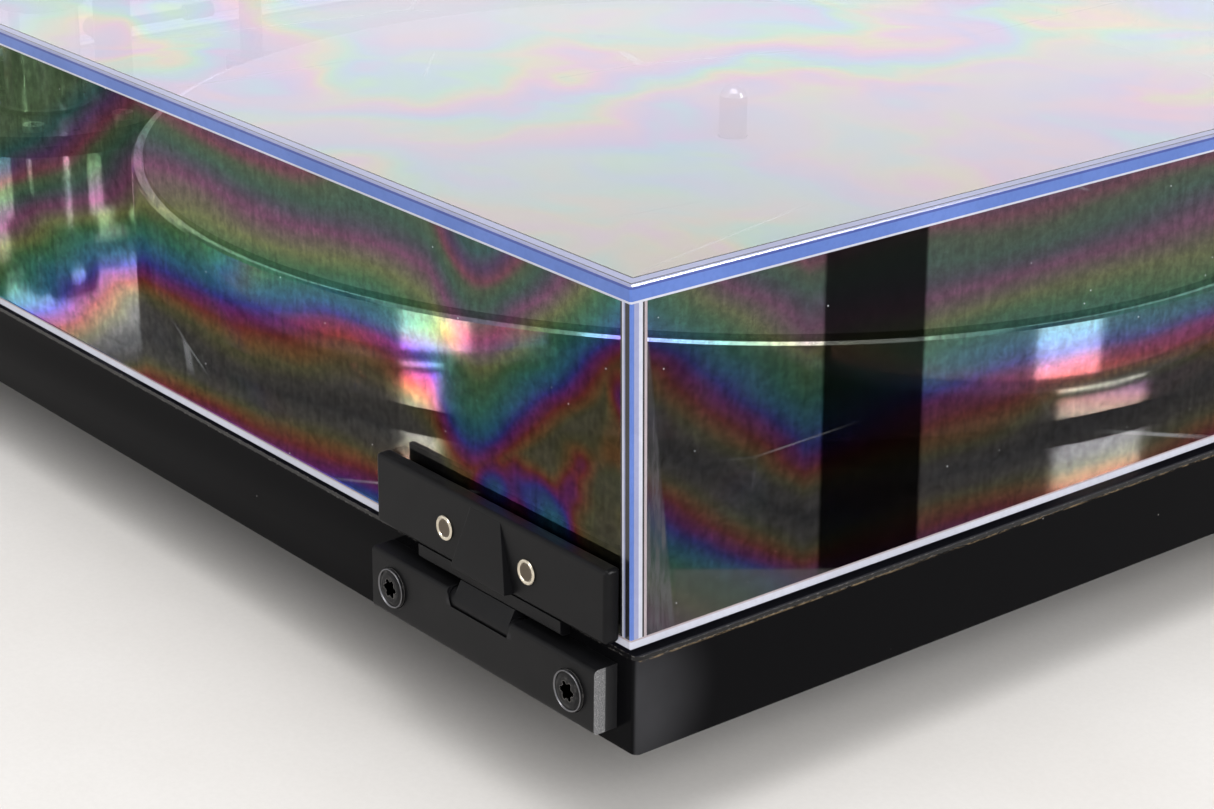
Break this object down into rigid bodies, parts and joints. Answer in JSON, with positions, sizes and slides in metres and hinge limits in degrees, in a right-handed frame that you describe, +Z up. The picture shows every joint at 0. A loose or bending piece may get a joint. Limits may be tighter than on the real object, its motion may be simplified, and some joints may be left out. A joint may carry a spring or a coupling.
{
  "type": "turntable record player",
  "caption": "Belt-driven record player: gloss black plinth, thick platter with mat, pivoted tonearm and a clear hinged dust cover.",
  "frame": {"origin": "middle of the whole footprint, hinge screws included, on the surface that the feet stand on", "axes": "+Z up, +X to the right and +Y to the rear for a user who faces the front"},
  "size_m": [0.447, 0.3662, 0.108],
  "materials": {
    "board": "gloss black lacquered board",
    "laminate": "high gloss black",
    "foot": "satin moulded rubber",
    "steel": "bright zinc",
    "black_steel": "blackened",
    "hinge_plastic": "satin black moulding",
    "clear": "clear, polished",
    "pad": "soft clear pad",
    "rivet": "nickel-plated, worn",
    "platter": "gloss black",
    "felt": "felt",
    "sub_platter": "smooth",
    "bronze": "sintered bronze",
    "belt": "matt",
    "brass": "turned",
    "motor": "plated can",
    "board_green": "solder mask",
    "arm_metal": "black anodised",
    "tube": "satin anodised",
    "bright": "polished",
    "weight": "satin black",
    "ring": "silver grey",
    "small_plastic": "satin black",
    "stylus": "translucent red grip",
    "gold": "gold-plated"
  },
  "bodies": {
    "plinth": {"plinth_board": "board", "top_laminate": "laminate", "feet": "foot", "foot_screws": "steel", "bottom_cover": "small_plastic", "cover_screws": "steel", "control_board": "board_green", "motor_body": "motor", "motor_plate": "black_steel", "motor_screws": "steel", "drive_belt": "belt", "bearing_housing": "tube", "bearing_bush": "bronze", "thrust_ball": "bright", "arm_base": "arm_metal", "arm_base_screws": "black_steel", "arm_pillar": "arm_metal", "cue_tower": "arm_metal", "arm_rest": "small_plastic", "terminal_box": "small_plastic", "phono_sockets": "gold", "power_inlet": "small_plastic", "ground_post": "gold", "left_hinge_base": "hinge_plastic", "right_hinge_base": "hinge_plastic", "hinge_pins": "steel", "hinge_springs": "steel", "hinge_screws": "black_steel"},
    "turning_platter": {"spindle": "steel", "sub_platter": "sub_platter", "platter": "platter", "platter_mat": "felt"},
    "pulley": {"motor_pulley": "brass"},
    "cover": {"dust_cover": "clear", "cover_pads": "pad", "left_hinge_leaf": "hinge_plastic", "right_hinge_leaf": "hinge_plastic", "left_cover_bracket": "hinge_plastic", "right_cover_bracket": "hinge_plastic", "backing_plates": "hinge_plastic", "cover_rivets": "rivet"},
    "yoke": {"arm_yoke": "arm_metal", "arm_pivot_pins": "steel"},
    "arm": {"arm_pivot_block": "arm_metal", "arm_tube": "tube", "headshell": "small_plastic", "finger_lift": "bright", "cartridge": "small_plastic", "cartridge_screws": "steel", "stylus": "stylus", "counterweight_stub": "steel"},
    "weight": {"counterweight": "weight"},
    "ring": {"force_ring": "ring"},
    "anti_skate": {"anti_skate_dial": "arm_metal"},
    "lift_platform": {"cue_platform": "small_plastic"},
    "lift_lever": {"cue_lever": "bright"},
    "clip": {"arm_clip": "small_plastic"},
    "knob": {"speed_knob": "arm_metal"},
    "nut": {"ground_nut": "gold"}
  },
  "joints": [
    {"name": "cover_hinge", "type": "hinge", "parent": "plinth", "child": "cover", "pos_m": [0, 0.1796, 0.0339], "axis": [-1, 0, 0], "range_deg": [0, 65]},
    {"name": "platter_spin", "type": "hinge", "parent": "plinth", "child": "turning_platter", "pos_m": [-0.0512, 0.00265, 0.0395], "axis": [0, 0, 1], "continuous": true},
    {"name": "motor_spin", "type": "hinge", "parent": "plinth", "child": "pulley", "pos_m": [-0.11342, 0.06488, 0.0395], "axis": [0, 0, 1], "continuous": true},
    {"name": "arm_swing", "type": "hinge", "parent": "plinth", "child": "yoke", "pos_m": [0.15463, 0.08581, 0.0855], "axis": [0, 0, -1], "range_deg": [0, 50]},
    {"name": "arm_lift", "type": "hinge", "parent": "yoke", "child": "arm", "pos_m": [0.15463, 0.08581, 0.0855], "axis": [-1, 0, 0], "range_deg": [0, 2.6]},
    {"name": "weight_slide", "type": "slide", "parent": "arm", "child": "weight", "axis": [0, 1, 0], "range_m": [0, 0.006]},
    {"name": "ring_turn", "type": "hinge", "parent": "weight", "child": "ring", "pos_m": [0.15463, 0.10981, 0.0849], "axis": [0, 1, 0], "continuous": true},
    {"name": "anti_skate_turn", "type": "hinge", "parent": "plinth", "child": "anti_skate", "pos_m": [0.17909, 0.08062, 0.0455], "axis": [0, 0, -1], "range_deg": [0, 270]},
    {"name": "lift_platform_rise", "type": "slide", "parent": "plinth", "child": "lift_platform", "axis": [0, 0, 1], "range_m": [0, 0.0013]},
    {"name": "lift_lever_turn", "type": "hinge", "parent": "plinth", "child": "lift_lever", "pos_m": [0.16941, 0.05864, 0.0575], "axis": [-1, 0, 0], "range_deg": [0, 60]},
    {"name": "clip_turn", "type": "hinge", "parent": "plinth", "child": "clip", "pos_m": [0.16614, 0.00781, 0.0955], "axis": [0, 0, -1], "range_deg": [0, 90]},
    {"name": "knob_turn", "type": "hinge", "parent": "plinth", "child": "knob", "pos_m": [-0.1875, -0.14705, 0.0455], "axis": [0, 0, -1], "range_deg": [0, 90]},
    {"name": "nut_turn", "type": "hinge", "parent": "plinth", "child": "nut", "pos_m": [0.1345, 0.16795, 0.0125], "axis": [0, 1, 0], "range_deg": [0, 360]}
  ],
  "couplings": [
    {"joint": "motor_spin", "follows": "platter_spin", "ratio": 9.5385},
    {"joint": "lift_platform_rise", "follows": "arm_lift", "m_per_rad": 0.02799},
    {"joint": "lift_lever_turn", "follows": "arm_lift", "ratio": 23.077}
  ]
}
